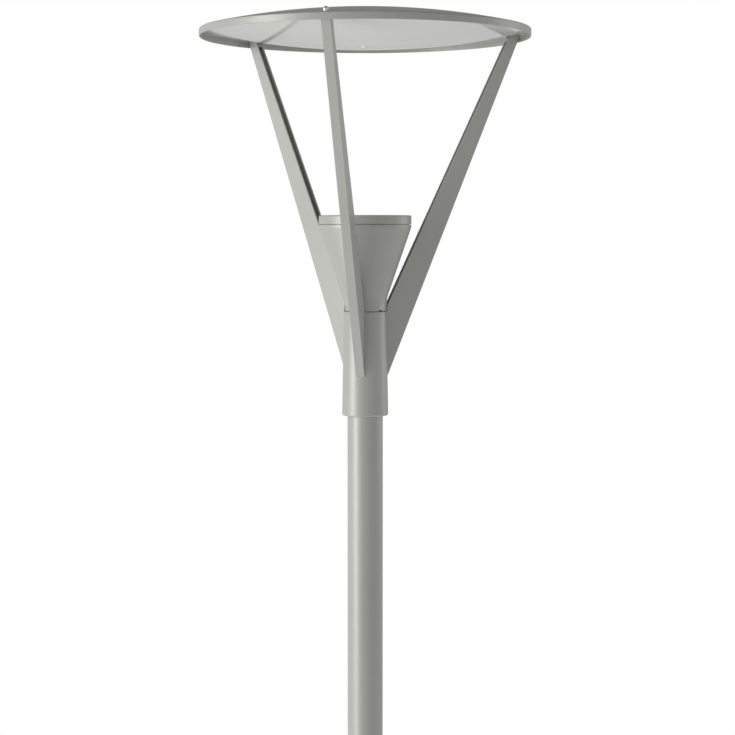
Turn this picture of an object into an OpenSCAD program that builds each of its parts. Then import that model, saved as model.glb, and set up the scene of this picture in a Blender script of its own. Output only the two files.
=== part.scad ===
// Pole-top indirect street lamp: a stepped steel post with a service door,
// and a lamp head whose three channel arms carry a shallow domed canopy.
// Origin: centre of the base plate's underside. +Z is up, -Y is the door side.

/* [Base plate] */
// Side of the square base plate
base_plate_w = 250; // [240:5:320]
// Thickness of the base plate
base_plate_t = 15; // [10:1:25]
// Corner radius of the base plate
base_plate_corner_r = 20; // [8:1:28]
// Distance between anchor holes along each side
anchor_spacing = 180; // [170:5:195]
// Diameter of each anchor hole
anchor_hole_d = 22; // [14:1:24]
// Diameter of the cable entry hole in the plate
cable_hole_d = 80; // [50:5:95]
// Leg of the fillet weld round the base tube
weld_leg = 5; // [3:1:8]

/* [Base tube] */
// Outer diameter of the lower tube
base_tube_d = 114.3; // [110:0.1:125]
// Wall of the lower tube
base_tube_wall = 3.6; // [3:0.1:5]
// Height of the lower tube's top above the ground
base_tube_top = 1000; // [950:10:1300]
// Height of the cone between the two tubes
reducer_h = 60; // [40:5:120]

/* [Service door] */
// Width of the door opening
door_w = 84; // [70:1:88]
// Height of the door opening
door_h = 300; // [260:5:360]
// Height of the opening's lower edge above the ground
door_bottom = 500; // [450:10:560]
// Corner radius of the opening
door_corner_r = 14; // [8:1:20]
// Gap between door and opening, all round
door_gap = 1; // [0.5:0.1:2]
// Diameter of the door screws' heads
door_screw_head_d = 16; // [12:1:18]
// Diameter of the door screws' shanks
door_screw_d = 8; // [6:1:10]
// Distance of each door screw from the end of the door
door_screw_inset = 28; // [24:1:40]

/* [Supply gear] */
// Width of the mounting bar behind the door
gear_bar_w = 40; // [34:1:46]
// Thickness of the mounting bar
gear_bar_t = 5; // [4:1:8]
// Width of the circuit breaker
breaker_w = 18; // [16:1:20]
// Height of the circuit breaker
breaker_h = 84; // [78:1:88]
// Depth of the circuit breaker
breaker_depth = 58; // [50:1:62]

/* [Pole] */
// Outer diameter of the pole
pole_d = 60; // [58:0.5:64]
// Wall of the pole
pole_wall = 3; // [2.5:0.1:4]
// Height of the pole's top end above the ground
pole_top = 2690; // [2400:10:4000]
// Length of pole held inside the lower tube
pole_tail = 120; // [100:5:140]

/* [Spigot body] */
// Diameter of the body at its lower edge
body_bottom_d = 78.4; // [76:0.2:84]
// Diameter of the body at the housing seam
body_top_d = 71.8; // [71:0.2:74]
// Height of the body from its lower edge to the seam
body_h = 176; // [170:1:190]
// Length of pole inside the body
socket_depth = 88; // [80:1:92]
// Clearance between pole and socket
socket_clearance = 0.1; // [0.05:0.05:0.3]
// Rounding of the body's lower edge
body_edge_r = 3; // [1:0.5:4]
// Height of the neck that carries the housing
neck_h = 15; // [12:1:17]
// Wall of the neck
neck_wall = 3.4; // [3:0.1:4]

/* [Arms] */
// Direction of the first arm, turned from the door side
arm_azimuth = -13; // [-60:1:60]
// Width of each arm across its channel
arm_w = 14.8; // [12:0.1:16]
// Wall of the arm's channel
arm_wall = 2.5; // [2:0.1:3]
// Height on the body where the outer edge starts
arm_foot_z = 68; // [60:1:76]
// Depth of the arm's solid root in front of the body
arm_root_t = 6; // [5:0.5:8]
// Horizontal depth of the arm under the canopy
arm_top_depth = 18.5; // [17:0.5:24]
// Height of the solid block that closes the top of the channel
arm_top_block_h = 11; // [10:0.5:14]

/* [Canopy] */
// Diameter of the canopy
canopy_d = 555; // [540:1:620]
// Height of the rim's lower edge above the body's lower edge
canopy_rim_z = 635; // [600:1:680]
// Height of the canopy's rim
canopy_rim_h = 12; // [8:0.5:14]
// Rise of the dome above the rim
canopy_rise = 31.5; // [28:0.5:44]
// Wall of the canopy
canopy_wall = 2; // [1.5:0.1:2.5]
// Gap between the rim's inside and the arms
canopy_arm_gap = 1; // [0.5:0.1:3]

/* [Canopy reflector] */
// Diameter of the reflector dish under the canopy
reflector_d = 532; // [510:1:534]
// Depth of the dish's bulge
reflector_drop = 26.2; // [20:0.1:30]
// Wall of the reflector dish
reflector_wall = 1.5; // [1:0.1:2]
// Diameter of the post that holds the dish
reflector_post_d = 14; // [10:1:20]

/* [Lamp housing] */
// Diameter of the housing at the glass ring
housing_d = 156.2; // [152:0.2:164]
// Height of the housing's straight foot
housing_foot_h = 18.5; // [17:0.5:20]
// Height of the cone above the foot
housing_cone_h = 122.5; // [118:0.5:130]
// Height of the straight band under the glass ring
housing_band_h = 4; // [3:0.5:5]
// Radius of the bend between the foot and the cone
housing_bend_r = 60; // [30:5:60]
// Wall of the housing
housing_wall = 3; // [2.5:0.1:3.5]
// Thickness of the gasket between body and housing
housing_gasket_t = 1.2; // [1:0.1:1.5]

/* [Glass ring] */
// Height of the ring
ring_h = 15; // [14:0.5:17]
// Wall of the ring round the housing's neck
ring_wall = 3.5; // [3:0.1:4]
// Gap between ring and housing
ring_seam = 0.8; // [0.8:0.1:1.4]
// Clearance between ring and neck
ring_clearance = 0.1; // [0.05:0.01:0.1]
// Thickness of the ring's lip over the glass
ring_lip_t = 2.4; // [2:0.1:3]
// Width of the ring's lip over the glass
ring_lip_w = 5.5; // [4:0.5:6.5]
// Thickness of the glass
glass_t = 5; // [4:0.5:6]
// Thickness of the gasket under the glass
glass_gasket_t = 1.4; // [1:0.1:1.6]

/* [Lamp] */
// Diameter of the lamp bulb
bulb_d = 20; // [18:1:24]
// Length of the lamp bulb above its base
bulb_h = 52; // [46:1:53]
// Diameter of the lamp base
lamp_base_d = 26; // [24:1:30]
// Height of the lamp base
lamp_base_h = 22; // [18:1:24]
// Height of the lamp holder
holder_h = 18; // [14:1:20]
// Height of the bowl reflector round the lamp
bowl_h = 60; // [50:1:62]

/* [Hidden] */
$fn = 96;
arm_count = 3;
arm_step = 360 / arm_count;
between_arms = arm_azimuth + arm_step / 2;
gear_azimuth = between_arms - arm_step;
far = 1000;                 // reach of a cutting solid
cut = 1;                    // how far a cutter runs past a face
fit_gap = 0.2;              // gap between pieces that only rest near each other

// Heights and radii of the post
tube_r = base_tube_d / 2;
tube_in_r = tube_r - base_tube_wall;
pole_r = pole_d / 2;
pole_in_r = pole_r - pole_wall;
pole_bottom = base_tube_top - pole_tail;
head_z = pole_top - socket_depth;
centering_t = 8;
reducer_wall = 4;

// Door and gear
door_mid = door_bottom + door_h / 2;
door_top = door_bottom + door_h;
door_bar_t = 5;
door_bar_h = 22;
door_edge_y = sqrt(tube_in_r * tube_in_r - door_w * door_w / 4);
door_bar_front = door_edge_y - fit_gap;
door_screw_low = door_bottom + door_screw_inset;
door_screw_high = door_top - door_screw_inset;
door_screw_tip = door_bar_front - door_bar_t - 4;
door_head_h = 5;
door_screw_gap = 0.08;
key_d = 9;
gear_bar_back = sqrt(tube_in_r * tube_in_r - gear_bar_w * gear_bar_w / 4);
gear_bar_front = gear_bar_back - gear_bar_t;
gear_bar_low = door_bottom - 20;
gear_bar_high = door_top + 20;
breaker_z = door_mid + 30;
breaker_front = gear_bar_front - breaker_depth;
breaker_nose_h = 44;
breaker_nose = 10;
toggle_r = 5;
toggle_w = 8;
toggle_reach = 13;
toggle_gap = 0.1;
toggle_throw = 80;
terminal_w = 36;
terminal_h = 52;
terminal_depth = 38;
terminal_z = breaker_z - breaker_h / 2 - terminal_h / 2 - 10;
stud_r = 4;
stud_z = door_bottom + 24;
stud_len = 24;
stud_nut_r = 7.5;
stud_nut_t = 6.5;
lug_r = 7;
lug_t = 1.5;
lug_h = 18;
earth_wire_r = 2;
link_wire_r = 1.6;
link_wire_pitch = 6;

// Spigot body, measured from its lower edge
body_bottom_r = body_bottom_d / 2;
body_top_r = body_top_d / 2;
function body_r(z) = body_bottom_r + (body_top_r - body_bottom_r) * z / body_h;
socket_r = pole_r + socket_clearance;
ledge_t = 4;
ledge_r = pole_in_r - 1;
foot_clearance = 0.1;
foot_wall = 3.4;
neck_r = body_top_r - foot_wall - foot_clearance;
neck_in_r = neck_r - neck_wall;
chamber_r = body_top_r - 4.8;
set_screw_r = 4;
set_screw_zs = [25, 62];
set_screw_gap = 0.05;
arm_screw_zs = [socket_depth + ledge_t + 12, body_h - 24];
arm_screw_r = 2.5;
arm_screw_head_r = 4.4;
arm_screw_head_h = 2.2;

// Housing, measured from the body's lower edge
housing_r = housing_d / 2;
housing_foot_z = body_h + housing_gasket_t;
housing_cone_z = housing_foot_z + housing_foot_h;
housing_band_z = housing_cone_z + housing_cone_h;
seam_z = housing_band_z + housing_band_h;
ring_bottom_z = seam_z + ring_seam;
ring_top_z = ring_bottom_z + ring_h;
housing_slope = (housing_r - body_top_r) / housing_cone_h;
housing_wall_dx = housing_wall * sqrt(1 + housing_slope * housing_slope);
function housing_in_r(z) = body_top_r - housing_wall_dx + housing_slope * (z - housing_cone_z);
housing_screw_z = body_h + 7;
housing_screw_head_r = 3.5;
housing_screw_head_h = 1.3;
housing_screw_r = 2;
housing_notch_gap = 0.5;
housing_bend = atan(housing_slope);
housing_bend_t = housing_bend_r * tan(housing_bend / 2);

// Glass and ring, from the top down
ring_in_r = housing_r - ring_wall;
glass_neck_r = ring_in_r - ring_clearance;
glass_top_z = ring_top_z - ring_lip_t - fit_gap;
glass_bottom_z = glass_top_z - glass_t;
glass_gasket_z = glass_bottom_z - glass_gasket_t;
glass_neck_z = glass_gasket_z - fit_gap;
glass_neck_wall = 2.5;
glass_r = ring_in_r - 1;
bowl_seat_z = glass_neck_z - 6;
bowl_seat_w = 2.5;
bowl_seat_r = glass_neck_r - glass_neck_wall - bowl_seat_w;
spanner_hole_r = 2;
spanner_hole_depth = 1.5;

// Lamp, from the bowl down
bowl_wall = 1;
bowl_flange_t = 1.2;
bowl_top_r = bowl_seat_r - fit_gap;
bowl_throat_r = lamp_base_d / 2 + 5;
bowl_bottom_z = bowl_seat_z - bowl_h;
lamp_base_z = bowl_bottom_z - lamp_base_h + 2;
lamp_pin_x = 6;
lamp_pin_r = 1.2;
lamp_pin_len = 9;
lamp_pin_gap = 0.3;
holder_r = lamp_base_d / 2 + 4;
holder_z = lamp_base_z - holder_h;
tray_t = 2;
tray_z = holder_z - tray_t;
tray_r = housing_in_r(tray_z) - 0.1;
hanger_t = 2;
hanger_w = 38;
ballast_w = 48;
ballast_depth = 27;
ballast_z = socket_depth + ledge_t + 3;
ballast_h = body_h - ballast_z - 9;
ballast_back = ballast_depth / 2;
hanger_z = ballast_z + 6;
head_terminal_z = ballast_z + ballast_h + 8;
head_terminal_w = 28;
head_terminal_depth = 15;
head_terminal_h = 20;
mast_cable_r = 4;
mast_cable_x = -1;
mast_cable_y = -18.7;
mast_cable_bend = 10;
mast_cable_end_y = ballast_back - head_terminal_depth;
mast_cable_top = head_terminal_z + head_terminal_h / 2;
lead_r = 2.5;
lead_y = 1.2;

// Canopy, measured from the body's lower edge
canopy_r = canopy_d / 2;
canopy_in_r = canopy_r - canopy_wall;
canopy_rim_top = canopy_rim_z + canopy_rim_h;
dome_r = (canopy_r * canopy_r + canopy_rise * canopy_rise) / (2 * canopy_rise);
dome_centre_z = canopy_rim_top + canopy_rise - dome_r;
function dome_z(r) = dome_centre_z + sqrt(dome_r * dome_r - r * r);
dome_in_r = dome_r - canopy_wall;
function dome_in_z(r) = dome_centre_z + sqrt(dome_in_r * dome_in_r - r * r);
reflector_r = reflector_d / 2;
dish_r = (reflector_r * reflector_r + reflector_drop * reflector_drop) / (2 * reflector_drop);
dish_edge_z = dome_in_z(reflector_r) - reflector_wall - fit_gap;
dish_low_z = dish_edge_z - reflector_drop;
dish_centre_z = dish_low_z + dish_r;
function dish_in_z(r) = dish_centre_z - sqrt((dish_r - reflector_wall) * (dish_r - reflector_wall) - r * r);
reflector_post_r = reflector_post_d / 2;
reflector_screw_r = 2.5;
reflector_screw_head_r = 5;
reflector_screw_head_h = 1.6;

// Arms, measured from the body's lower edge
arm_top_z = canopy_rim_z + 4;
arm_out_top_r = canopy_in_r - canopy_arm_gap - 2.5;
arm_out_slope = (arm_out_top_r - body_r(arm_foot_z)) / (arm_top_z - arm_foot_z);
function arm_out_r(z) = body_r(arm_foot_z) + arm_out_slope * (z - arm_foot_z);
arm_web_dx = arm_wall * sqrt(1 + arm_out_slope * arm_out_slope);
arm_in_start_r = body_top_r + 0.5;
arm_in_start_z = body_h + 8;
arm_in_slope = (arm_out_top_r - arm_top_depth - arm_in_start_r) / (arm_top_z - arm_in_start_z);
function arm_in_r(z) = arm_in_start_r + arm_in_slope * (z - arm_in_start_z);
arm_root_r = body_top_r + arm_root_t;
arm_root_top = body_h + 14;
arm_channel_foot = arm_foot_z + (arm_root_r + arm_web_dx - body_r(arm_foot_z)) / arm_out_slope;
arm_channel_top = canopy_rim_top - arm_top_block_h;
arm_notch_gap = 0.5;
function arm_roof_z(r) = dome_in_z(r) - fit_gap;
arm_roof_out_r = arm_out_r(canopy_rim_top - 1);
arm_roof_in_r = arm_in_r(canopy_rim_top + 3);
canopy_screw_r = 2.5;
canopy_screw_at = arm_out_r(arm_top_z) - 4.5;
canopy_screw_tilt = asin(canopy_screw_at / dome_in_r);
canopy_screw_depth = 8;
cap_nut_r = 4.4;
cap_nut_h = 3;

// ---------- shared shapes ----------

// Square plate with round corners, centred, from z = 0
module rounded_plate(w, h, t, r) {
    linear_extrude(t)
        union() {
            square([w - 2 * r, h], center = true);
            square([w, h - 2 * r], center = true);
            for (x = [-1, 1], y = [-1, 1])
                translate([x * (w / 2 - r), y * (h / 2 - r)]) circle(r);
        }
}

// Tube standing on z = 0
module tube(r, inner_r, h) {
    difference() {
        cylinder(r = r, h = h);
        translate([0, 0, -cut]) cylinder(r = inner_r, h = h + 2 * cut);
    }
}

// Puts a child built along +X at an azimuth turned from the -Y side
module facing(azimuth) {
    rotate([0, 0, azimuth - 90]) children();
}

// Cylinder lying along +X from x = from to x = to
module radial_rod(r, from, to) {
    translate([from, 0, 0]) rotate([0, 90, 0]) cylinder(r = r, h = to - from);
}

// Lifts a child from the head's own heights to the ground's
module on_pole() {
    translate([0, 0, head_z]) children();
}

// Slab across the door opening's outline, through the tube's wall on the -Y side
module door_slab(shrink, depth_from, depth_to) {
    translate([0, -depth_from, door_mid])
        rotate([90, 0, 0])
            rounded_plate(door_w - 2 * shrink, door_h - 2 * shrink, depth_to - depth_from,
                          door_corner_r - shrink);
}

// ---------- post ----------

// Base plate with four anchor holes, the cable hole and the weld round the tube
module base_plate() {
    color("silver")
    difference() {
        union() {
            rounded_plate(base_plate_w, base_plate_w, base_plate_t, base_plate_corner_r);
            translate([0, 0, base_plate_t])
                rotate_extrude()
                    polygon([[tube_r, 0], [tube_r + weld_leg, 0], [tube_r, weld_leg]]);
        }
        translate([0, 0, -cut]) cylinder(d = cable_hole_d, h = base_plate_t + 2 * cut);
        for (x = [-1, 1], y = [-1, 1])
            translate([x * anchor_spacing / 2, y * anchor_spacing / 2, -cut])
                cylinder(d = anchor_hole_d, h = base_plate_t + 2 * cut);
    }
}

// Lower tube with the door opening
module base_tube() {
    color("silver")
    difference() {
        translate([0, 0, base_plate_t]) tube(tube_r, tube_in_r, base_tube_top - base_plate_t);
        door_slab(0, 0, tube_r + cut);
    }
}

// Cone that closes the lower tube round the pole
module reducer() {
    color("silver")
    translate([0, 0, base_tube_top])
        rotate_extrude()
            polygon([[socket_r, 0], [tube_r, 0], [pole_r + reducer_wall, reducer_h],
                     [socket_r, reducer_h]]);
}

// Ring that centres the pole's tail in the lower tube
module centering_ring() {
    color("gray")
    translate([0, 0, pole_bottom - centering_t])
        difference() {
            tube(tube_in_r, pole_in_r - 1, 2 * centering_t);
            translate([0, 0, centering_t]) cylinder(r = socket_r, h = centering_t + cut);
        }
}

// Upper tube, from the centering ring to the head's socket
module pole_tube() {
    color("silver")
    translate([0, 0, pole_bottom]) tube(pole_r, pole_in_r, pole_top - pole_bottom);
}

// Two cross bars that the door screws run into
module door_bars() {
    color("gray")
    for (z = [door_screw_low, door_screw_high])
        difference() {
            intersection() {
                translate([-tube_in_r, -door_bar_front, z - door_bar_h / 2])
                    cube([2 * tube_in_r, door_bar_t, door_bar_h]);
                cylinder(r = tube_in_r, h = base_tube_top);
            }
            translate([0, 0, z]) facing(0)
                radial_rod(door_screw_d / 2 + door_screw_gap, 0, tube_r);
        }
}

// Upright bar at the back of the lower tube that carries the gear
module gear_bar() {
    color("gray")
    difference() {
        translate([-gear_bar_w / 2, gear_bar_front, gear_bar_low])
            cube([gear_bar_w, gear_bar_t, gear_bar_high - gear_bar_low]);
        translate([0, 0, stud_z]) facing(180) radial_rod(stud_r, gear_bar_front - cut, tube_in_r);
    }
}

// Circuit breaker with a raised nose and a slot for its toggle
module breaker() {
    color("whitesmoke")
    difference() {
        union() {
            translate([-breaker_w / 2, breaker_front + breaker_nose, breaker_z - breaker_h / 2])
                cube([breaker_w, breaker_depth - breaker_nose, breaker_h]);
            translate([-breaker_w / 2, breaker_front, breaker_z - breaker_nose_h / 2])
                cube([breaker_w, breaker_nose + cut, breaker_nose_h]);
        }
        translate([-toggle_w / 2 - toggle_gap, breaker_front - cut, breaker_z - 14])
            cube([toggle_w + 2 * toggle_gap, 12 + cut, 28]);
        for (z = [-1, 1])
            translate([0, 0, breaker_z + z * (breaker_h / 2 - 8)]) facing(0)
                radial_rod(3, -breaker_front - breaker_nose - 4, far);
    }
}

// Breaker toggle: a round hub and a finger that points up when it is on
module breaker_toggle() {
    color("black")
    translate([0, breaker_front + toggle_r + 1, breaker_z])
        union() {
            translate([-toggle_w / 2, 0, 0]) rotate([0, 90, 0]) cylinder(r = toggle_r, h = toggle_w);
            rotate([-toggle_throw / 2, 0, 0])
                translate([-toggle_w / 2, -toggle_reach, -2]) cube([toggle_w, toggle_reach, 4]);
        }
}

// Terminal block for the supply cable, with its row of clamp holes
module terminal_block() {
    color("whitesmoke")
    translate([-terminal_w / 2, gear_bar_front - terminal_depth, terminal_z - terminal_h / 2])
        difference() {
            cube([terminal_w, terminal_depth, terminal_h]);
            for (i = [0:3], z = [0.3, 0.7])
                translate([terminal_w * (i + 0.5) / 4, -cut, terminal_h * z])
                    rotate([-90, 0, 0]) cylinder(r = 2.6, h = 8 + cut);
        }
}

// Wires that link the terminal block to the breaker
module link_wires() {
    color("saddlebrown")
    for (x = [-link_wire_pitch, 0, link_wire_pitch])
        translate([x, gear_bar_front - terminal_depth / 2, terminal_z + terminal_h / 2])
            cylinder(r = link_wire_r,
                     h = breaker_z - breaker_h / 2 - terminal_z - terminal_h / 2);
}

// Earth stud through the gear bar, with the nut that clamps the wire's lug
module earth_stud() {
    color("goldenrod")
    translate([0, 0, stud_z]) facing(180)
        union() {
            radial_rod(stud_r, gear_bar_front - stud_len, gear_bar_back);
            translate([gear_bar_front - lug_t - stud_nut_t, 0, 0]) rotate([0, 90, 0])
                cylinder(r = stud_nut_r, h = stud_nut_t, $fn = 6);
        }
}

// Earth wire with its lug, from the stud to the terminal block
module earth_wire() {
    color("olive")
    union() {
        difference() {
            union() {
                translate([0, 0, stud_z]) facing(180)
                    radial_rod(lug_r, gear_bar_front - lug_t, gear_bar_front);
                translate([-earth_wire_r, gear_bar_front - lug_t, stud_z])
                    cube([2 * earth_wire_r, lug_t, lug_h]);
            }
            translate([0, 0, stud_z]) facing(180)
                radial_rod(stud_r, gear_bar_front - lug_t - cut, gear_bar_front + cut);
        }
        translate([0, gear_bar_front - earth_wire_r, stud_z + lug_h - 6])
            cylinder(r = earth_wire_r, h = terminal_z - terminal_h / 2 - stud_z - lug_h + 6);
    }
}

// ---------- service door ----------

// Door: a piece of the tube's own curve, with a spacer sleeve behind each screw
module service_door() {
    color("silver")
    difference() {
        union() {
            intersection() {
                translate([0, 0, base_plate_t])
                    tube(tube_r, tube_in_r, base_tube_top - base_plate_t);
                door_slab(door_gap, 0, tube_r + cut);
            }
            for (z = [door_screw_low, door_screw_high])
                translate([0, 0, z]) facing(0)
                    radial_rod(door_screw_head_d / 2 + 2.5, door_bar_front, tube_in_r + 1);
        }
        for (z = [door_screw_low, door_screw_high])
            translate([0, 0, z]) facing(0) {
                radial_rod(door_screw_d / 2 + door_screw_gap, 0, far);
                radial_rod(door_screw_head_d / 2 + door_screw_gap,
                           tube_r - door_head_h - 1, far);
            }
    }
}

// Captive door screw with a three-sided key recess
module door_screw(z) {
    translate([0, 0, z]) facing(0)
        difference() {
            union() {
                radial_rod(door_screw_d / 2, door_screw_tip, tube_r - door_head_h);
                radial_rod(door_screw_head_d / 2, tube_r - door_head_h - 0.8, tube_r - 0.8);
            }
            translate([tube_r - door_head_h + 1, 0, 0])
                rotate([0, 90, 0]) cylinder(r = key_d / 2, h = door_head_h, $fn = 3);
        }
}

module door_screw_upper() { color("dimgray") door_screw(door_screw_high); }
module door_screw_lower() { color("dimgray") door_screw(door_screw_low); }

// ---------- spigot body ----------

// Outside of the body as a solid, for the body and for what seats on it
module body_outside() {
    rotate_extrude()
        union() {
            polygon([[0, 0], [body_bottom_r - body_edge_r, 0],
                     [body_r(body_edge_r), body_edge_r],
                     [body_top_r, body_h], [0, body_h]]);
            translate([body_r(body_edge_r) - body_edge_r, body_edge_r]) circle(body_edge_r);
        }
}

// Body: socket for the pole below, gear chamber above, and the neck for the housing
module spigot_body() {
    color("lightgray")
    on_pole()
    difference() {
        union() {
            body_outside();
            cylinder(r = neck_r, h = body_h + neck_h);
        }
        translate([0, 0, -cut]) cylinder(r = socket_r, h = socket_depth + cut);
        cylinder(r = ledge_r, h = body_h);
        translate([0, 0, socket_depth + ledge_t])
            rotate_extrude()
                polygon([[0, 0], [chamber_r, 0],
                         [chamber_r, body_h - socket_depth - ledge_t - 12],
                         [neck_in_r, body_h - socket_depth - ledge_t - 8],
                         [neck_in_r, far], [0, far]]);
        for (z = set_screw_zs)
            translate([0, 0, z]) facing(between_arms + arm_step)
                radial_rod(set_screw_r + set_screw_gap, 0, body_bottom_r + cut);
        for (i = [0:arm_count - 1], z = arm_screw_zs)
            translate([0, 0, z]) facing(arm_azimuth + i * arm_step)
                radial_rod(arm_screw_r, 0, body_bottom_r + cut);
        for (i = [0:arm_count - 1])
            translate([0, 0, housing_screw_z]) facing(between_arms + i * arm_step)
                radial_rod(housing_screw_r, 0, body_bottom_r);
    }
}

// Two set screws that clamp the pole, one above the other at the back
module set_screws() {
    color("dimgray")
    on_pole()
    for (z = set_screw_zs)
        translate([0, 0, z]) facing(between_arms + arm_step)
            difference() {
                radial_rod(set_screw_r, pole_r, body_r(z) - 1);
                translate([body_r(z) - 5, 0, 0])
                    rotate([0, 90, 0]) cylinder(r = set_screw_r / 2, h = 5, $fn = 6);
            }
}

// ---------- arms ----------

// Side outline of an arm in the plane of radius and height
module arm_outline() {
    polygon([[body_r(arm_foot_z), arm_foot_z],
             [arm_roof_out_r, arm_roof_z(arm_roof_out_r)],
             [arm_roof_in_r, arm_roof_z(arm_roof_in_r)],
             [arm_in_start_r, arm_in_start_z],
             [arm_in_start_r, body_h],
             [body_top_r - 2, body_h],
             [body_r(arm_foot_z) - 2, arm_foot_z]]);
}

// Hollow of the channel, open towards the lamp above the root
module arm_channel() {
    polygon([[arm_root_r, arm_channel_foot],
             [arm_out_r(arm_channel_top) - arm_web_dx, arm_channel_top],
             [0, arm_channel_top],
             [0, arm_root_top],
             [arm_root_r, arm_root_top]]);
}

// Runs a child's own Z axis square to the dome, at the screw of one arm
module at_canopy_screw() {
    translate([canopy_screw_at, 0, dome_in_z(canopy_screw_at)])
        rotate([0, canopy_screw_tilt, 0]) children();
}

// Arm: a tapering U channel whose root seats on the body and whose top fits the dome
module arm(azimuth) {
    on_pole()
    facing(azimuth)
    difference() {
        rotate([90, 0, 0])
            difference() {
                linear_extrude(arm_w, center = true) arm_outline();
                linear_extrude(arm_w - 2 * arm_wall, center = true) arm_channel();
            }
        body_outside();
        for (z = arm_screw_zs) translate([0, 0, z]) radial_rod(arm_screw_r, 0, arm_root_r - 1);
        at_canopy_screw()
            translate([0, 0, -canopy_screw_depth])
                cylinder(r = canopy_screw_r, h = canopy_screw_depth + 5);
    }
}

module arm_1() { color("lightgray") arm(arm_azimuth); }
module arm_2() { color("lightgray") arm(arm_azimuth + arm_step); }
module arm_3() { color("lightgray") arm(arm_azimuth + 2 * arm_step); }

// Screws that hold the arms, driven outwards from the gear chamber
module arm_screws() {
    color("dimgray")
    on_pole()
    for (i = [0:arm_count - 1], z = arm_screw_zs)
        translate([0, 0, z]) facing(arm_azimuth + i * arm_step)
            difference() {
                union() {
                    radial_rod(arm_screw_r, chamber_r - 0.5, arm_root_r - 1.5);
                    radial_rod(arm_screw_head_r, chamber_r - 0.5 - arm_screw_head_h,
                               chamber_r - 0.5);
                }
                translate([chamber_r - arm_screw_head_h - 1.5, 0, 0])
                    rotate([0, 90, 0]) cylinder(r = arm_screw_r / 2, h = 2, $fn = 6);
            }
}

// ---------- canopy ----------

// Canopy: a thin spherical dome with an upright rim
module canopy() {
    color("silver")
    on_pole()
    difference() {
        union() {
            translate([0, 0, canopy_rim_z])
                tube(canopy_r, canopy_in_r, canopy_rim_h + fit_gap);
            intersection() {
                translate([0, 0, dome_centre_z])
                    rotate_extrude($fn = 360)
                        intersection() {
                            difference() {
                                circle(dome_r, $fn = 720);
                                circle(dome_in_r, $fn = 720);
                            }
                            square([canopy_r, dome_r]);
                        }
                translate([0, 0, canopy_rim_z])
                    cylinder(r = canopy_r, h = canopy_rim_h + canopy_rise + cut);
            }
        }
        for (i = [0:arm_count - 1])
            facing(arm_azimuth + i * arm_step)
                at_canopy_screw()
                    translate([0, 0, -cut]) cylinder(r = canopy_screw_r, h = canopy_wall + 2 * cut);
    }
}

// Domed screws that hold the canopy on the arms
module canopy_screws() {
    color("gainsboro")
    on_pole()
    for (i = [0:arm_count - 1])
        facing(arm_azimuth + i * arm_step)
            at_canopy_screw()
                union() {
                    translate([0, 0, 0.5 - canopy_screw_depth])
                        cylinder(r = canopy_screw_r, h = canopy_screw_depth + canopy_wall);
                    translate([0, 0, canopy_wall]) {
                        cylinder(r = cap_nut_r, h = cap_nut_h);
                        translate([0, 0, cap_nut_h])
                            intersection() {
                                sphere(cap_nut_r);
                                cylinder(r = cap_nut_r, h = cap_nut_r);
                            }
                    }
                }
}

// Reflector: a shallow dish that bulges down under the dome, notched round the arms
module canopy_reflector() {
    color("white")
    on_pole()
    difference() {
        translate([0, 0, dish_centre_z])
            rotate_extrude($fn = 360)
                intersection() {
                    difference() {
                        circle(dish_r, $fn = 720);
                        circle(dish_r - reflector_wall, $fn = 720);
                    }
                    translate([0, -dish_r]) square([reflector_r, dish_r - sqrt(dish_r * dish_r
                        - reflector_r * reflector_r) + reflector_wall]);
                }
        translate([0, 0, dish_low_z - cut]) cylinder(r = reflector_screw_r, h = far);
        for (i = [0:arm_count - 1])
            facing(arm_azimuth + i * arm_step)
                translate([arm_in_r(dish_edge_z - 5) - arm_notch_gap, -arm_w / 2 - arm_notch_gap, 0])
                    cube([far, arm_w + 2 * arm_notch_gap, far]);
    }
}

// Post that stands between the dome and the reflector
module reflector_post() {
    color("gainsboro")
    on_pole()
    translate([0, 0, dish_in_z(reflector_post_r)])
        difference() {
            cylinder(r = reflector_post_r,
                     h = dome_in_z(reflector_post_r) - dish_in_z(reflector_post_r) - fit_gap / 2);
            translate([0, 0, -cut]) cylinder(r = reflector_screw_r, h = 16 + cut);
        }
}

// Screw that holds the reflector on its post
module reflector_screw() {
    color("gainsboro")
    on_pole()
    translate([0, 0, dish_low_z])
        difference() {
            union() {
                translate([0, 0, -reflector_screw_head_h])
                    cylinder(r = reflector_screw_head_r, h = reflector_screw_head_h);
                translate([0, 0, -cut]) cylinder(r = reflector_screw_r, h = 14);
            }
            translate([0, 0, -reflector_screw_head_h - cut])
                cylinder(r = reflector_screw_r, h = cut + 0.9, $fn = 6);
        }
}

// ---------- lamp housing ----------

// Flat gasket between the body and the housing's foot
module housing_gasket() {
    color("black")
    on_pole()
    translate([0, 0, body_h])
        tube(body_top_r - 1, neck_r + foot_clearance, housing_gasket_t);
}

// Notch for one foot screw, open at the foot's lower edge
module housing_notch(r, from, to) {
    radial_rod(r, from, to);
    translate([from, -r, body_h - housing_screw_z]) cube([to - from, 2 * r, housing_screw_z - body_h]);
}

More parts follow.
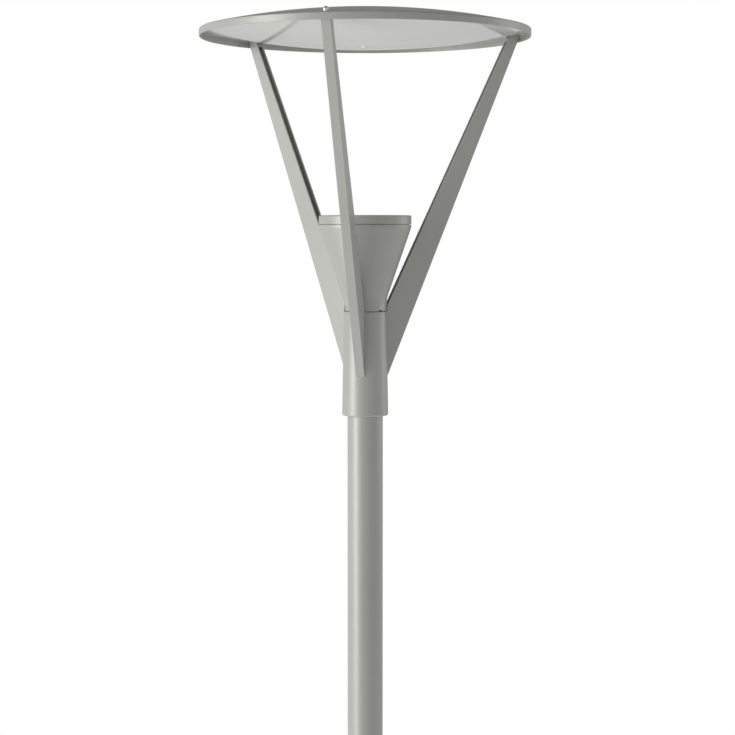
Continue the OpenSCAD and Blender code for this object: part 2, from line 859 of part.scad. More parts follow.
// Housing: a notched foot that slips over the neck, a cone, and a neck for the glass ring
module lamp_housing() {
    color("lightgray")
    on_pole()
    difference() {
        rotate_extrude()
            difference() {
                polygon([[neck_r + foot_clearance, housing_foot_z],
                         [body_top_r, housing_foot_z],
                         [body_top_r, housing_cone_z - housing_bend_t],
                         [body_top_r + housing_bend_t * sin(housing_bend),
                          housing_cone_z + housing_bend_t * cos(housing_bend)],
                         [housing_r, housing_band_z],
                         [housing_r, seam_z],
                         [glass_neck_r, seam_z],
                         [glass_neck_r, glass_neck_z],
                         [glass_neck_r - glass_neck_wall, glass_neck_z],
                         [glass_neck_r - glass_neck_wall, bowl_seat_z],
                         [bowl_seat_r, bowl_seat_z],
                         [bowl_seat_r, housing_cone_z + (bowl_seat_r - body_top_r
                             + housing_wall_dx) / housing_slope],
                         [neck_r + foot_clearance, housing_cone_z + (neck_r + foot_clearance
                             - body_top_r + housing_wall_dx) / housing_slope]]);
                translate([body_top_r + housing_bend_r, housing_cone_z - housing_bend_t])
                    circle(housing_bend_r, $fn = 720);
            }
        for (i = [0:arm_count - 1])
            translate([0, 0, housing_screw_z]) facing(between_arms + i * arm_step) {
                housing_notch(housing_screw_r + housing_notch_gap, neck_in_r, body_top_r + cut);
                housing_notch(housing_screw_head_r + housing_notch_gap,
                              body_top_r - housing_screw_head_h, body_top_r + cut);
            }
    }
}

// Screws in the neck that the housing's notches slip over
module housing_screws() {
    color("dimgray")
    on_pole()
    for (i = [0:arm_count - 1])
        translate([0, 0, housing_screw_z]) facing(between_arms + i * arm_step)
            difference() {
                union() {
                    radial_rod(housing_screw_r, neck_in_r + 0.5, body_top_r - 1);
                    radial_rod(housing_screw_head_r, body_top_r - housing_screw_head_h,
                               body_top_r - 0.1);
                }
                translate([body_top_r - 1, 0, 0])
                    rotate([0, 90, 0]) cylinder(r = housing_screw_r, h = 2, $fn = 6);
            }
}

// Tray across the housing with the hanger that carries the gear
module gear_tray() {
    color("gainsboro")
    on_pole()
    facing(gear_azimuth)
        difference() {
            union() {
                translate([0, 0, tray_z]) cylinder(r = tray_r, h = tray_t);
                translate([-hanger_w / 2, ballast_back, hanger_z])
                    cube([hanger_w, hanger_t, tray_z - hanger_z + cut]);
            }
            translate([0, 0, tray_z - cut]) cylinder(r = 5, h = tray_t + 2 * cut);
        }
}

// Electronic gear in the body's chamber
module ballast() {
    color("white")
    on_pole()
    facing(gear_azimuth)
        translate([-ballast_w / 2, ballast_back - ballast_depth, ballast_z])
            cube([ballast_w, ballast_depth, ballast_h]);
}

// Terminal block on the hanger, above the gear
module head_terminal() {
    color("whitesmoke")
    on_pole()
    facing(gear_azimuth)
        translate([-head_terminal_w / 2, mast_cable_end_y, head_terminal_z])
            difference() {
                cube([head_terminal_w, head_terminal_depth, head_terminal_h]);
                for (x = [0.2, 0.8])
                    translate([head_terminal_w * x, -cut, head_terminal_h / 2])
                        rotate([-90, 0, 0]) cylinder(r = 2, h = 6 + cut);
            }
}

// Cable inside the pole, from the breaker's top to the head's terminal block
module mast_cable() {
    color("dimgray")
    on_pole()
    facing(gear_azimuth)
        translate([mast_cable_x, 0, 0])
            union() {
                translate([0, mast_cable_y, breaker_z + breaker_h / 2 - head_z])
                    cylinder(r = mast_cable_r, h = mast_cable_top - mast_cable_bend
                             - (breaker_z + breaker_h / 2 - head_z));
                translate([0, mast_cable_y + mast_cable_bend, mast_cable_top - mast_cable_bend])
                    rotate([0, -90, 0])
                        rotate([0, 0, -90])
                            rotate_extrude(angle = 90)
                                translate([mast_cable_bend, 0]) circle(mast_cable_r);
                translate([0, mast_cable_y + mast_cable_bend, mast_cable_top])
                    rotate([-90, 0, 0])
                        cylinder(r = mast_cable_r,
                                 h = mast_cable_end_y - mast_cable_y - mast_cable_bend);
            }
}

// Lead from the head's terminal block through the tray to the lamp holder
module lamp_lead() {
    color("dimgray")
    on_pole()
    facing(gear_azimuth)
        translate([0, lead_y, head_terminal_z + head_terminal_h])
            cylinder(r = lead_r, h = holder_z - head_terminal_z - head_terminal_h);
}

// Lamp holder with sockets for the lamp's two pins
module lamp_holder() {
    color("white")
    on_pole()
    translate([0, 0, holder_z])
        difference() {
            cylinder(r = holder_r, h = holder_h);
            for (x = [-lamp_pin_x, lamp_pin_x])
                translate([x, 0, holder_h - 10]) cylinder(r = lamp_pin_r + lamp_pin_gap, h = 10 + cut);
        }
}

// Ceramic lamp base with its two pins
module lamp_base() {
    color("white")
    on_pole()
    translate([0, 0, lamp_base_z])
        union() {
            cylinder(d = lamp_base_d, h = lamp_base_h * 0.6);
            translate([0, 0, lamp_base_h * 0.6])
                cylinder(r1 = lamp_base_d / 2, r2 = bulb_d / 2 + 1, h = lamp_base_h * 0.4);
            for (x = [-lamp_pin_x, lamp_pin_x])
                translate([x, 0, -lamp_pin_len]) cylinder(r = lamp_pin_r, h = lamp_pin_len + 1);
        }
}

// Lamp bulb: a clear tube with a round end
module lamp_bulb() {
    color("lightblue", 0.4)
    on_pole()
    translate([0, 0, lamp_base_z + lamp_base_h])
        difference() {
            union() {
                cylinder(d = bulb_d, h = bulb_h - bulb_d / 2);
                translate([0, 0, bulb_h - bulb_d / 2]) sphere(d = bulb_d);
            }
            translate([0, 0, 2]) cylinder(r = bulb_d / 2 - 1.2, h = bulb_h - bulb_d / 2 - 2);
        }
}

// Ceramic arc tube on its two stem wires
module lamp_burner() {
    color("white")
    on_pole()
    translate([0, 0, lamp_base_z + lamp_base_h + 2])
        union() {
            translate([0, 0, 14]) cylinder(r = 4, h = 14);
            translate([0, 0, 8]) cylinder(r = 1.2, h = 26);
            for (x = [-3, 3]) translate([x, 0, 0]) cylinder(r = 0.6, h = 15);
        }
}

// Bowl reflector: a parabola of revolution round the lamp, with a flange at its rim
function bowl_r(t) = bowl_throat_r + (bowl_top_r - bowl_throat_r) * sqrt(t);
bowl_steps = 10;
module lamp_bowl() {
    color("gainsboro")
    on_pole()
    translate([0, 0, bowl_bottom_z])
        rotate_extrude()
            polygon(concat(
                [for (i = [0:bowl_steps]) [bowl_r(i / bowl_steps) - bowl_wall, bowl_h * i / bowl_steps]],
                [[bowl_top_r - bowl_wall, bowl_h + bowl_flange_t],
                 [bowl_top_r + bowl_seat_w, bowl_h + bowl_flange_t],
                 [bowl_top_r + bowl_seat_w, bowl_h]],
                [for (i = [bowl_steps:-1:0]) [bowl_r(i / bowl_steps), bowl_h * i / bowl_steps]]));
}

// ---------- glass ring ----------

// Flat gasket that the glass lies on
module glass_gasket() {
    color("black")
    on_pole()
    translate([0, 0, glass_gasket_z])
        tube(glass_r, glass_neck_r - glass_neck_wall - 1, glass_gasket_t);
}

// Flat toughened glass
module glass() {
    color("lightcyan", 0.5)
    on_pole()
    translate([0, 0, glass_bottom_z]) cylinder(r = glass_r, h = glass_t);
}

// Screwed ring with a lip over the glass and spanner holes in its top
module glass_ring() {
    color("lightgray")
    on_pole()
    difference() {
        rotate_extrude()
            polygon([[ring_in_r, ring_bottom_z],
                     [housing_r, ring_bottom_z],
                     [housing_r, ring_top_z - 1.2],
                     [housing_r - 1.2, ring_top_z],
                     [ring_in_r - ring_lip_w, ring_top_z],
                     [ring_in_r - ring_lip_w, ring_top_z - ring_lip_t],
                     [ring_in_r, ring_top_z - ring_lip_t]]);
        for (i = [0:arm_count - 1])
            facing(between_arms + i * arm_step)
                translate([ring_in_r - ring_lip_w / 2, 0, ring_top_z - spanner_hole_depth])
                    cylinder(r = spanner_hole_r, h = spanner_hole_depth + cut);
    }
}

base_plate();
base_tube();
reducer();
centering_ring();
pole_tube();
door_bars();
gear_bar();
breaker();
breaker_toggle();
terminal_block();
link_wires();
earth_stud();
earth_wire();
service_door();
door_screw_upper();
door_screw_lower();
spigot_body();
set_screws();
arm_1();
arm_2();
arm_3();
arm_screws();
canopy();
canopy_screws();
canopy_reflector();
reflector_post();
reflector_screw();
housing_gasket();
lamp_housing();
housing_screws();
gear_tray();
ballast();
head_terminal();
mast_cable();
lamp_lead();
lamp_holder();
lamp_base();
lamp_bulb();
lamp_burner();
lamp_bowl();
glass_gasket();
glass();
glass_ring();
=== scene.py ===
import math

import bpy
import numpy as np
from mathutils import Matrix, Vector


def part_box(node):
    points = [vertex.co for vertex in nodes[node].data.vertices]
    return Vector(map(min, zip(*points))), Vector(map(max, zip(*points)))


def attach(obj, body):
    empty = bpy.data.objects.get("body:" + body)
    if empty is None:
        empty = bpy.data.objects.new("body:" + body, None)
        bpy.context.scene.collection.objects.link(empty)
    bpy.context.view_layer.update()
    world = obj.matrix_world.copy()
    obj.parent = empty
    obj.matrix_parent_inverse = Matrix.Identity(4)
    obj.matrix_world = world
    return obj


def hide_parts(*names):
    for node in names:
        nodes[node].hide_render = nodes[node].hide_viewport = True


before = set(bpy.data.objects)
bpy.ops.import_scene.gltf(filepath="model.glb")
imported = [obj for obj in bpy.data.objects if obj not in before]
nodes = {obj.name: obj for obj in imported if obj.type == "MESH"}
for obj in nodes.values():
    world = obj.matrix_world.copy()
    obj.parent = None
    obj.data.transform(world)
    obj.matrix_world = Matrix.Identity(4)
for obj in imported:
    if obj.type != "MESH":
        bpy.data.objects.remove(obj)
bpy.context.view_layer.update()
scene = bpy.context.scene

# Heights in the head are in millimetres above the spigot body's lower edge
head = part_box("spigot_body")[0][2]


# Camera: a long lens at the height of the lamp housing, tipped a little down
camera_data = bpy.data.cameras.new("camera")
camera_data.sensor_width = 36.0
camera_data.lens = 92.51
camera = bpy.data.objects.new("camera", camera_data)
camera.location = (0.0, -3.194, head + 0.3075)
camera.rotation_euler = (math.radians(90 - 4.057), 0.0, math.radians(-0.071))
scene.collection.objects.link(camera)
scene.camera = camera
scene.view_settings.view_transform = "Standard"


# Room: white where the camera looks. Every other ray meets a studio that is brightest
# on the left and at eye height, and dimmer towards its ceiling and its floor. Each stop
# is its place from one end of the axis to the other, and the level of light there
world = bpy.data.worlds.new("studio")
scene.world = world
world.use_nodes = True
tree = world.node_tree
tree.nodes.clear()
out = tree.nodes.new("ShaderNodeOutputWorld")
switch = tree.nodes.new("ShaderNodeMixShader")
ray = tree.nodes.new("ShaderNodeLightPath")
seen = tree.nodes.new("ShaderNodeBackground")
seen.inputs["Color"].default_value = (1.0, 1.0, 1.0, 1.0)
room = tree.nodes.new("ShaderNodeBackground")
where = tree.nodes.new("ShaderNodeTexCoord")
split = tree.nodes.new("ShaderNodeSeparateXYZ")
tree.links.new(where.outputs["Generated"], split.inputs[0])
for axis, socket, stops in (
    ("X", "Color", ((0.12, 0.92), (0.42, 0.49), (1.0, 0.60))),
    ("Z", "Strength", ((0.0, 0.74), (0.5, 1.04), (0.8, 0.50))),
):
    shift = tree.nodes.new("ShaderNodeMath")
    shift.operation = "MULTIPLY_ADD"
    shift.inputs[1].default_value = 0.5
    shift.inputs[2].default_value = 0.5
    ramp = tree.nodes.new("ShaderNodeValToRGB")
    ramp.color_ramp.elements.new(0.5)
    for element, (position, level) in zip(ramp.color_ramp.elements, stops):
        element.position = position
        element.color = (level, level, level * 0.995, 1.0)
    tree.links.new(split.outputs[axis], shift.inputs[0])
    tree.links.new(shift.outputs[0], ramp.inputs["Fac"])
    tree.links.new(ramp.outputs["Color"], room.inputs[socket])
tree.links.new(ray.outputs["Is Camera Ray"], switch.inputs["Fac"])
tree.links.new(room.outputs[0], switch.inputs[1])
tree.links.new(seen.outputs[0], switch.inputs[2])
tree.links.new(switch.outputs[0], out.inputs["Surface"])

# Lights: a tall soft panel at the front left, one low on the left for the post, two on
# the floor that light the dish from below, and a weak one behind on the right
for name, place, aim, width, height, power in (
    ("key", (-2.75, -1.25, head + 0.5), (0, 0, head + 0.35), 1.1, 2.4, 36.0),
    ("under_left", (-1.35, 0.3, 0.05), (-0.9, 0.2, head), 1.5, 3.0, 19.0),
    ("under_right", (1.25, 0.3, 0.05), (0.9, 0.2, head), 1.5, 3.0, 17.0),
    ("fill", (2.8, 1.0, head + 0.6), (0, 0, head + 0.3), 1.2, 2.0, 8.0),
    ("post_key", (-2.6, -1.5, 1.3), (0, 0, 1.1), 1.4, 2.2, 22.0),
):
    panel = bpy.data.lights.new(name, "AREA")
    panel.shape = "RECTANGLE"
    panel.size = width
    panel.size_y = height
    panel.energy = power
    stand = bpy.data.objects.new(name, panel)
    stand.location = place
    stand.rotation_euler = (Vector(aim) - Vector(place)).to_track_quat("-Z", "Y").to_euler()
    stand.visible_camera = False
    scene.collection.objects.link(stand)

# Floor: a pale round plate that fades out into the white round it
bpy.ops.mesh.primitive_circle_add(vertices=128, radius=3.0, fill_type="NGON")
floor = bpy.context.object
floor.name = "floor"
ground = bpy.data.materials.new("ground")
ground.use_nodes = True
tree = ground.node_tree
tree.nodes["Principled BSDF"].inputs["Base Color"].default_value = (0.82, 0.82, 0.81, 1.0)
tree.nodes["Principled BSDF"].inputs["Roughness"].default_value = 0.6
place = tree.nodes.new("ShaderNodeTexCoord")
away = tree.nodes.new("ShaderNodeVectorMath")
away.operation = "LENGTH"
fade = tree.nodes.new("ShaderNodeMapRange")
fade.interpolation_type = "SMOOTHSTEP"
fade.inputs["From Min"].default_value = 0.9
fade.inputs["From Max"].default_value = 2.6
white = tree.nodes.new("ShaderNodeEmission")
edge = tree.nodes.new("ShaderNodeMixShader")
tree.links.new(place.outputs["Object"], away.inputs[0])
tree.links.new(away.outputs["Value"], fade.inputs["Value"])
tree.links.new(fade.outputs[0], edge.inputs["Fac"])
tree.links.new(tree.nodes["Principled BSDF"].outputs[0], edge.inputs[1])
tree.links.new(white.outputs[0], edge.inputs[2])
tree.links.new(edge.outputs[0], tree.nodes["Material Output"].inputs["Surface"])
floor.data.materials.append(ground)


# Base plate and base tube: a thick steel plate with four anchor holes and a stout tube
# welded on it, painted grey like the rest of the post. The paint has a fine grain
def finish(name, colour, metal, rough, coat=0.0, coat_rough=0.12, grain=900.0, depth=0.00002,
           cells=0.0, spread=0.06):
    """Makes one finish. The colour is scaled by a slow cloud of noise, or by one random
    tone for each cell of a Voronoi pattern where cells gives their number in a metre;
    roughness drifts with the same pattern, and the surface stands up and down by depth
    in a fine noise of the given number of grains in a metre."""
    material = bpy.data.materials.new(name)
    material.use_nodes = True
    tree = material.node_tree
    shader = tree.nodes["Principled BSDF"]
    shader.inputs["Metallic"].default_value = metal
    shader.inputs["Coat Weight"].default_value = coat
    shader.inputs["Coat Roughness"].default_value = coat_rough
    place = tree.nodes.new("ShaderNodeTexCoord")
    if cells:
        drift = tree.nodes.new("ShaderNodeTexVoronoi")
        drift.inputs["Scale"].default_value = cells
        pattern = drift.outputs["Color"]
    else:
        drift = tree.nodes.new("ShaderNodeTexNoise")
        drift.inputs["Scale"].default_value = 9.0
        drift.inputs["Detail"].default_value = 5.0
        pattern = drift.outputs["Fac"]
    tree.links.new(place.outputs["Object"], drift.inputs["Vector"])
    tone = tree.nodes.new("ShaderNodeMapRange")
    tone.inputs["To Min"].default_value = 1 - spread
    tone.inputs["To Max"].default_value = 1 + spread
    tint = tree.nodes.new("ShaderNodeVectorMath")
    tint.operation = "SCALE"
    tint.inputs[0].default_value = colour
    wear = tree.nodes.new("ShaderNodeMapRange")
    wear.inputs["To Min"].default_value = rough - 0.05
    wear.inputs["To Max"].default_value = rough + 0.05
    speck = tree.nodes.new("ShaderNodeTexNoise")
    speck.inputs["Scale"].default_value = grain
    speck.inputs["Detail"].default_value = 2.0
    bump = tree.nodes.new("ShaderNodeBump")
    bump.inputs["Distance"].default_value = depth
    bump.inputs["Strength"].default_value = 0.6
    tree.links.new(place.outputs["Object"], speck.inputs["Vector"])
    tree.links.new(pattern, tone.inputs["Value"])
    tree.links.new(tone.outputs[0], tint.inputs["Scale"])
    tree.links.new(tint.outputs[0], shader.inputs["Base Color"])
    tree.links.new(pattern, wear.inputs["Value"])
    tree.links.new(wear.outputs[0], shader.inputs["Roughness"])
    tree.links.new(speck.outputs["Fac"], bump.inputs["Height"])
    tree.links.new(bump.outputs[0], shader.inputs["Normal"])
    return material


def dress(material, *names):
    """Gives CAD nodes that keep their shape a finish."""
    for name in names:
        nodes[name].data.materials.clear()
        nodes[name].data.materials.append(material)


paint = finish("paint", (0.40, 0.405, 0.375), 0.25, 0.42, coat=0.1)
dress(paint, "base_tube")


def drilled(piece, rods, blocks=()):
    """Cuts a piece with plain rods (centre, radius, length, turn) and blocks (centre,
    size, turn), in metres, and shades it again."""
    cutters = []
    for centre, radius, length, turn in rods:
        bpy.ops.mesh.primitive_cylinder_add(vertices=48, radius=radius, depth=length,
                                            location=centre, rotation=turn)
        cutters.append(bpy.context.object)
    for centre, size, turn in blocks:
        bpy.ops.mesh.primitive_cube_add(size=1, location=centre, rotation=turn, scale=size)
        cutters.append(bpy.context.object)
    for cutter in cutters:
        hole = piece.modifiers.new("hole", "BOOLEAN")
        hole.operation = "DIFFERENCE"
        hole.object = cutter
        bpy.context.view_layer.objects.active = piece
        bpy.ops.object.modifier_apply(modifier="hole")
        bpy.data.objects.remove(cutter)
    piece.data.shade_smooth()
    piece.data.set_sharp_from_angle(angle=math.radians(35))


def slab(name, side, corner, low, high, chamfer, body, material, slot, *replaced):
    """A square plate with round corners. Its outline is four quarter circles about points
    one corner radius in from both sides, repeated at four heights; the lowest and the
    highest are drawn in by the chamfer."""
    sweep = np.linspace(0, math.pi / 2, 9)
    turn = (np.arange(4)[:, None] * math.pi / 2 + sweep).ravel()
    middle = np.repeat(np.array([(1, 1), (-1, 1), (-1, -1), (1, -1)]) * (side / 2 - corner), 9, 0)
    rows = []
    for z, inset in ((low, chamfer), (low + chamfer, 0), (high - chamfer, 0), (high, chamfer)):
        ray = np.stack([np.cos(turn), np.sin(turn)], -1) * (corner - inset)
        rows.append(np.column_stack([middle + ray, np.full(len(turn), z)]))
    count = len(turn)
    i, j = np.meshgrid(np.arange(3), np.arange(count), indexing="ij")
    quads = np.stack([i * count + j, i * count + (j + 1) % count,
                      (i + 1) * count + (j + 1) % count, (i + 1) * count + j], -1)
    faces = quads.reshape(-1, 4).tolist()
    faces += [list(range(count))[::-1], list(range(3 * count, 4 * count))]
    mesh = bpy.data.meshes.new(name)
    mesh.from_pydata((np.concatenate(rows) / 1000).tolist(), [], faces)
    mesh.materials.append(material)
    piece = bpy.data.objects.new(name, mesh)
    scene.collection.objects.link(piece)
    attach(piece, body)
    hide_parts(*replaced)
    return piece


plate_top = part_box("base_plate")[1][2] * 1000
plate_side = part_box("base_plate")[1][0] * 2000
plate_corner, plate_chamfer = 20.0, 1.0
anchor_at, anchor_radius, cable_radius = 0.09, 0.011, 0.04
cut_middle, cut_length = 0.007, 0.03
plate = slab("foot_plate", plate_side, plate_corner, 0, plate_top, plate_chamfer,
             "post", paint, "paint", "base_plate")
drilled(plate, [((x, y, cut_middle), anchor_radius, cut_length, (0, 0, 0))
                for x in (-anchor_at, anchor_at) for y in (-anchor_at, anchor_at)]
        + [((0, 0, cut_middle), cable_radius, cut_length, (0, 0, 0))])


# Weld round the tube's foot: a fillet of small overlapping ripples, under the paint
def weld(name, radius, height, leg, ripples, body, material):
    """A closed ring whose section is a fillet between a tube and a plate. Its outer side
    runs straight from leg out to leg up, and stands proud of that line by a half sine
    times 0.10 of the leg, plus 0.03 times a cosine of the given number of ripples."""
    turn = np.linspace(0, 2 * math.pi, ripples * 8, endpoint=False)
    sweep = np.linspace(0, 1, 9)
    bulge = np.sin(math.pi * sweep) * (0.10 + 0.03 * np.cos(ripples * turn)[:, None])
    r = radius + np.hstack([leg * (1 - sweep + bulge), np.full((len(turn), 1), -0.3)])
    z = height + np.hstack([leg * (sweep + bulge), np.full((len(turn), 1), -0.2)])
    across = r.shape[1]
    points = np.stack([r * np.cos(turn)[:, None], r * np.sin(turn)[:, None], z], -1)
    i, j = np.meshgrid(np.arange(len(turn)), np.arange(across), indexing="ij")
    i2, j2 = (i + 1) % len(turn), (j + 1) % across
    faces = np.stack([i * across + j, i2 * across + j, i2 * across + j2, i * across + j2], -1)
    mesh = bpy.data.meshes.new(name)
    mesh.from_pydata((points.reshape(-1, 3) / 1000).tolist(), [], faces.reshape(-1, 4).tolist())
    mesh.shade_smooth()
    mesh.set_sharp_from_angle(angle=math.radians(60))
    mesh.materials.append(material)
    piece = bpy.data.objects.new(name, mesh)
    scene.collection.objects.link(piece)
    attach(piece, body)


tube_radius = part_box("base_tube")[1][0] * 1000
weld_leg, weld_ripples = 6.0, 90
weld("foot_weld", tube_radius, plate_top, weld_leg, weld_ripples, "post", paint)


# Reducer and centering ring: a painted cone that steps the base tube down to the pole,
# and a galvanised ring inside it that keeps the pole's tail in the middle
zinc = finish("zinc", (0.42, 0.43, 0.44), 0.8, 0.5, grain=300.0, depth=0.00001,
              cells=110.0, spread=0.14)
dress(paint, "reducer")
dress(zinc, "centering_ring")


# Pole: a plain drawn tube, open at its top, where the lamp head goes over it
def turned(name, corners, body, material, slot, *replaced, base=0.0, around=256, steps=6):
    """Turns a closed outline about the pole's axis. Each corner is (radius, height,
    rounding) in millimetres. A rounding q is an arc whose centre lies on the corner's
    bisector, q / sin(half the corner's angle) away, and which meets both sides
    q / tan(half) from the corner. Straight sides get a row just past each arc, which
    keeps them flat to the eye. Rows on the axis are single points."""
    line = []
    for i, (x, y, q) in enumerate(corners):
        p = np.array((x, y), float)
        if q == 0:
            line.append(p[None])
            continue
        a = np.array(corners[i - 1][:2]) - p
        b = np.array(corners[(i + 1) % len(corners)][:2]) - p
        a_len, b_len = np.linalg.norm(a), np.linalg.norm(b)
        a, b = a / a_len, b / b_len
        half = math.acos(np.clip(a @ b, -1, 1)) / 2
        reach = q / math.tan(half)
        middle = p + (a + b) / np.linalg.norm(a + b) * q / math.sin(half)
        swing = math.pi - 2 * half
        w = np.linspace(0, swing, steps + 1)[:, None]
        arc = middle + (np.sin(swing - w) * (p + a * reach - middle)
                        + np.sin(w) * (p + b * reach - middle)) / math.sin(swing)
        if a_len > reach * 1.6:
            line.append((p + a * reach * 1.3)[None])
        line.append(arc)
        if b_len > reach * 1.6:
            line.append((p + b * reach * 1.3)[None])
    line = np.concatenate(line)
    r, z = line.T
    if np.sum(r * np.roll(z, -1) - np.roll(r, -1) * z) < 0:
        r, z = r[::-1], z[::-1]
    turn = np.arange(around) * 2 * math.pi / around
    points = np.stack([np.outer(r, np.cos(turn)), np.outer(r, np.sin(turn)),
                       np.outer(z, np.ones(around))], -1).reshape(-1, 3) / 1000
    points[:, 2] += base
    row = np.arange(len(r)) * around
    spot = row[:, None] + np.where(r[:, None] < 1e-6, 0, np.arange(around))
    right = np.roll(spot, -1, axis=1)
    quads = np.stack([spot, right, np.roll(right, -1, axis=0), np.roll(spot, -1, axis=0)], -1)
    used, faces = np.unique(quads.reshape(-1, 4), return_inverse=True)
    faces = [list(dict.fromkeys(face)) for face in faces.reshape(-1, 4).tolist()]
    mesh = bpy.data.meshes.new(name)
    mesh.from_pydata(points[used].tolist(), [], [face for face in faces if len(face) > 2])
    mesh.shade_smooth()
    mesh.set_sharp_from_angle(angle=math.radians(35))
    mesh.materials.append(material)
    piece = bpy.data.objects.new(name, mesh)
    scene.collection.objects.link(piece)
    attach(piece, body)
    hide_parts(*replaced)
    return piece


pole_low, pole_high = (p[2] * 1000 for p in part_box("pole_tube"))
pole_radius, pole_bore = 30, 27
turned("pole", [(pole_bore, pole_low, 0), (pole_radius, pole_low, 1),
                (pole_radius, pole_high, 1), (pole_bore, pole_high, 0)],
       "post", paint, "paint", "pole_tube")


# Gear behind the door: galvanised bars and rail, a moulded breaker with a black toggle,
# a terminal block, black link wires, and the earth stud with its green wire
dress(zinc, "door_bars", "gear_bar")
grey_plastic = finish("grey_plastic", (0.52, 0.52, 0.50), 0.0, 0.45, grain=1500.0)
black_plastic = finish("black_plastic", (0.02, 0.02, 0.02), 0.0, 0.4, grain=1500.0,
                       depth=0.00001)
sheath = finish("cable_sheath", (0.03, 0.03, 0.03), 0.0, 0.55, depth=0.00001)
earth_sheath = finish("earth_sheath", (0.16, 0.36, 0.03), 0.0, 0.4, depth=0.00001)
brass = finish("stud_brass", (0.60, 0.42, 0.15), 1.0, 0.3, grain=700.0, depth=0.00001)
dress(grey_plastic, "breaker", "terminal_block")
dress(black_plastic, "breaker_toggle")
dress(sheath, "link_wires")
dress(earth_sheath, "earth_wire")
dress(brass, "earth_stud")


# Service door: a curved cover cut from the same tube, held by two plain key screws
steel = finish("steel", (0.50, 0.50, 0.50), 1.0, 0.32, grain=700.0, depth=0.00001)
dress(paint, "service_door")
dress(steel, "door_screw_upper", "door_screw_lower")


# Spigot body and arms: a cast body that slips over the pole, with three channel arms
# screwed to it from inside
dress(paint, "spigot_body")
dress(paint, "arm_1", "arm_2", "arm_3")
dress(steel, "set_screws", "arm_screws")


# Canopy: a spun shallow dome whose edge turns down into a short rim with a hemmed lip
rim_low, rim_high, rise, canopy_radius, canopy_wall = 635.0, 647.0, 31.5, 277.5, 2.0
dome_outer = (canopy_radius**2 + rise**2) / (2 * rise)
dome_inner = dome_outer - canopy_wall
dome_middle = rim_high + rise - dome_outer
crown = [(r, dome_middle + math.sqrt(dome_outer**2 - r * r), 0) for r in np.linspace(275, 0, 56)]
hollow = [(r, dome_middle + math.sqrt(dome_inner**2 - r * r), 0) for r in np.linspace(0, 273, 48)]
turned("canopy_shell",
       [(canopy_radius - 2, rim_low, 0.4), (canopy_radius - 0.1, rim_low, 0.8),
        (canopy_radius - 0.1, rim_high, 2.2)] + crown
       + hollow + [(canopy_radius - 2, rim_high - 1.8, 1.5)],
       "post", paint, "paint", "canopy", base=head, around=360)
bright_steel = finish("bright_steel", (0.80, 0.80, 0.78), 1.0, 0.12, grain=500.0,
                      depth=0.000003)
dress(bright_steel, "canopy_screws")


# Dish under the canopy: white enamel, bulging down, notched round the arms, and held
# at its middle by one screw into a galvanised post
enamel = finish("white_enamel", (0.75, 0.755, 0.715), 0.0, 0.32, coat=1.0, coat_rough=0.06,
                grain=700.0, depth=0.000004, spread=0.02)
dish_radius, dish_drop, dish_wall = 266.0, 26.2, 1.5
dish_outer = (dish_radius**2 + dish_drop**2) / (2 * dish_drop)
dish_edge = dome_middle + math.sqrt(dome_inner**2 - dish_radius**2) - dish_wall - 0.2
dish_middle = dish_edge - dish_drop + dish_outer
face = [(r, dish_middle - math.sqrt(dish_outer**2 - r * r), 0) for r in np.linspace(0, 265, 64)]
back = [(r, z + dish_wall, 0) for r, z, q in reversed(face)]
dish = turned("dish", face + [(dish_radius, face[-1][1] + 0.75, 0)] + back,
              "post", enamel, "white_enamel", "canopy_reflector", base=head, around=360)
arm_width = 14.8
notch_at, notch_reach, notch_height = 0.2777, 0.05, 0.03
drilled(dish, [((0, 0, head + 0.62), 0.0025, 0.01, (0, 0, 0))],
        [((notch_at * math.sin(a), -notch_at * math.cos(a), head + 0.645),
          ((arm_width + 1) / 1000, notch_reach, notch_height), (0, 0, a))
         for a in (math.radians(t) for t in (-13, 107, 227))])
dress(enamel, "reflector_screw")
dress(zinc, "reflector_post")


# Lamp housing: a foot notched over its screws, a flared cone, and a rounded shoulder
# under the glass ring
rubber = finish("seal_rubber", (0.02, 0.02, 0.02), 0.0, 0.7)
dress(rubber, "housing_gasket")
foot_radius, foot_bore, foot_low, foot_high = 35.9, 32.5, 177.2, 195.7
head_radius, shoulder, seam = 78.1, 318.2, 322.2
neck_radius, neck_bore, neck_high = 74.5, 72, 328.8
seat_bore, seat_low, seat_high = 69.5, 302.3, 322.8
housing = turned(
    "housing_shell",
    [(foot_bore, foot_low, 0), (foot_radius, foot_low, 0.3), (foot_radius, foot_high, 60),
     (head_radius, shoulder, 20), (head_radius, seam, 0.5), (neck_radius, seam, 0),
     (neck_radius, neck_high, 0.5), (neck_bore, neck_high, 0.5), (neck_bore, seat_high, 0),
     (seat_bore, seat_high, 0), (seat_bore, seat_low, 0), (foot_bore, 194.9, 0)],
    "post", paint, "paint", "lamp_housing", base=head, around=288)

# Each of its three screws stands in a hole, and in a wider notch round its head. Both
# are open at the foot, so that the housing lifts off once the screws are loose
between = [math.radians(t) for t in (47, 167, 287)]
screw_height, slot_height = head + 0.183, 0.008
rods, boxes = [], []
for a in between:
    for radius, near, far in ((2.5, 30, 38), (4.0, 34.6, 38)):
        middle = (near + far) / 2000
        rods.append(((middle * math.sin(a), -middle * math.cos(a), screw_height),
                     radius / 1000, (far - near) / 1000, (math.pi / 2, 0, a)))
        boxes.append(((middle * math.sin(a), -middle * math.cos(a), head + 0.179),
                      (2 * radius / 1000, (far - near) / 1000, slot_height), (0, 0, a)))
drilled(housing, rods, boxes)
dress(steel, "housing_screws")


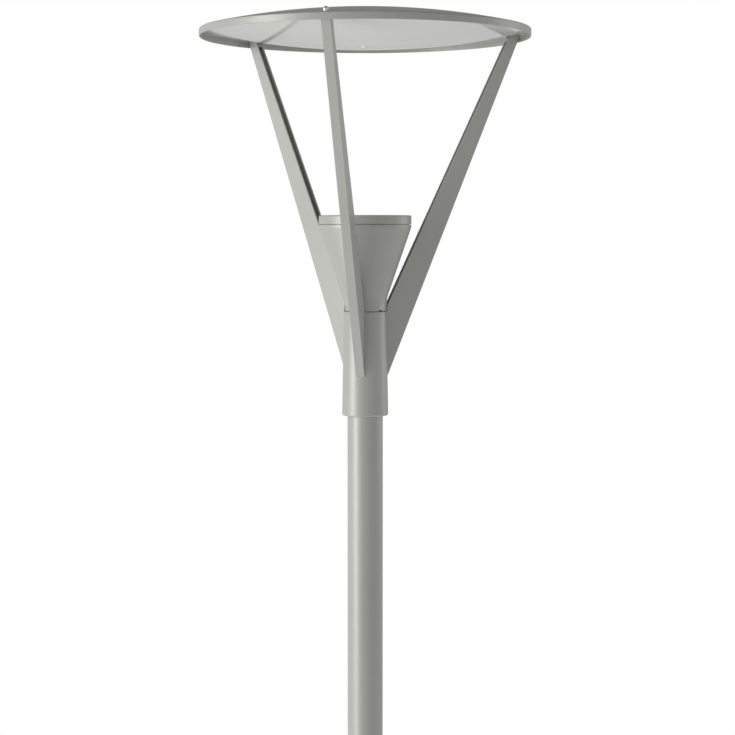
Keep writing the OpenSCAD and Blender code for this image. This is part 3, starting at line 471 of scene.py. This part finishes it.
# Lamp gear and lamp: tray, ballast, terminal and leads in the body, a ceramic holder,
# and a discharge lamp with a clear bulb round its ceramic burner
ceramic = finish("white_ceramic", (0.80, 0.78, 0.72), 0.0, 0.30, coat=0.3, grain=600.0,
                 depth=0.00001, spread=0.03)
dress(zinc, "gear_tray")
dress(grey_plastic, "ballast")
dress(sheath, "mast_cable", "lamp_lead")
dress(ceramic, "head_terminal", "lamp_holder", "lamp_base", "lamp_burner")


def clear_glass(name, colour, rough):
    """Glass of one colour. Shadow rays pass straight through it with that colour."""
    material = bpy.data.materials.new(name)
    material.use_nodes = True
    tree = material.node_tree
    shader = tree.nodes["Principled BSDF"]
    shader.inputs["Base Color"].default_value = (*colour, 1.0)
    shader.inputs["Roughness"].default_value = rough
    shader.inputs["Transmission Weight"].default_value = 1.0
    shader.inputs["IOR"].default_value = 1.5
    clear = tree.nodes.new("ShaderNodeBsdfTransparent")
    clear.inputs["Color"].default_value = (*colour, 1.0)
    mix = tree.nodes.new("ShaderNodeMixShader")
    ray = tree.nodes.new("ShaderNodeLightPath")
    tree.links.new(ray.outputs["Is Shadow Ray"], mix.inputs["Fac"])
    tree.links.new(shader.outputs[0], mix.inputs[1])
    tree.links.new(clear.outputs[0], mix.inputs[2])
    tree.links.new(mix.outputs[0], tree.nodes["Material Output"].inputs["Surface"])
    return material


dress(clear_glass("bulb_glass", (0.97, 0.98, 0.98), 0.01), "lamp_bulb")
dress(finish("bowl_metal", (0.88, 0.88, 0.88), 1.0, 0.16, grain=500.0), "lamp_bowl")


# Glass and ring: a flat toughened pane on a rubber seal, held down by a turned ring with
# a soft top edge and three spanner holes
dress(rubber, "glass_gasket")
dress(clear_glass("pane_glass", (0.93, 0.97, 0.95), 0.02), "glass")
ring_bore, ring_low, ring_high = 74.6, 323, 338
lip_bore, lip_low = 69.1, 335.6
ring = turned(
    "ring_shell",
    [(ring_bore, ring_low, 0), (head_radius, ring_low, 0.5), (head_radius, ring_high, 2.4),
     (lip_bore, ring_high, 0.8), (lip_bore, lip_low, 0.3), (ring_bore, lip_low, 0)],
    "ring", paint, "paint", "glass_ring", base=head, around=288)
spanner_at, spanner_radius, spanner_depth = 0.07185, 0.002, 0.003
drilled(ring, [((spanner_at * math.sin(a), -spanner_at * math.cos(a), head + 0.338),
                spanner_radius, spanner_depth, (0, 0, 0)) for a in between])
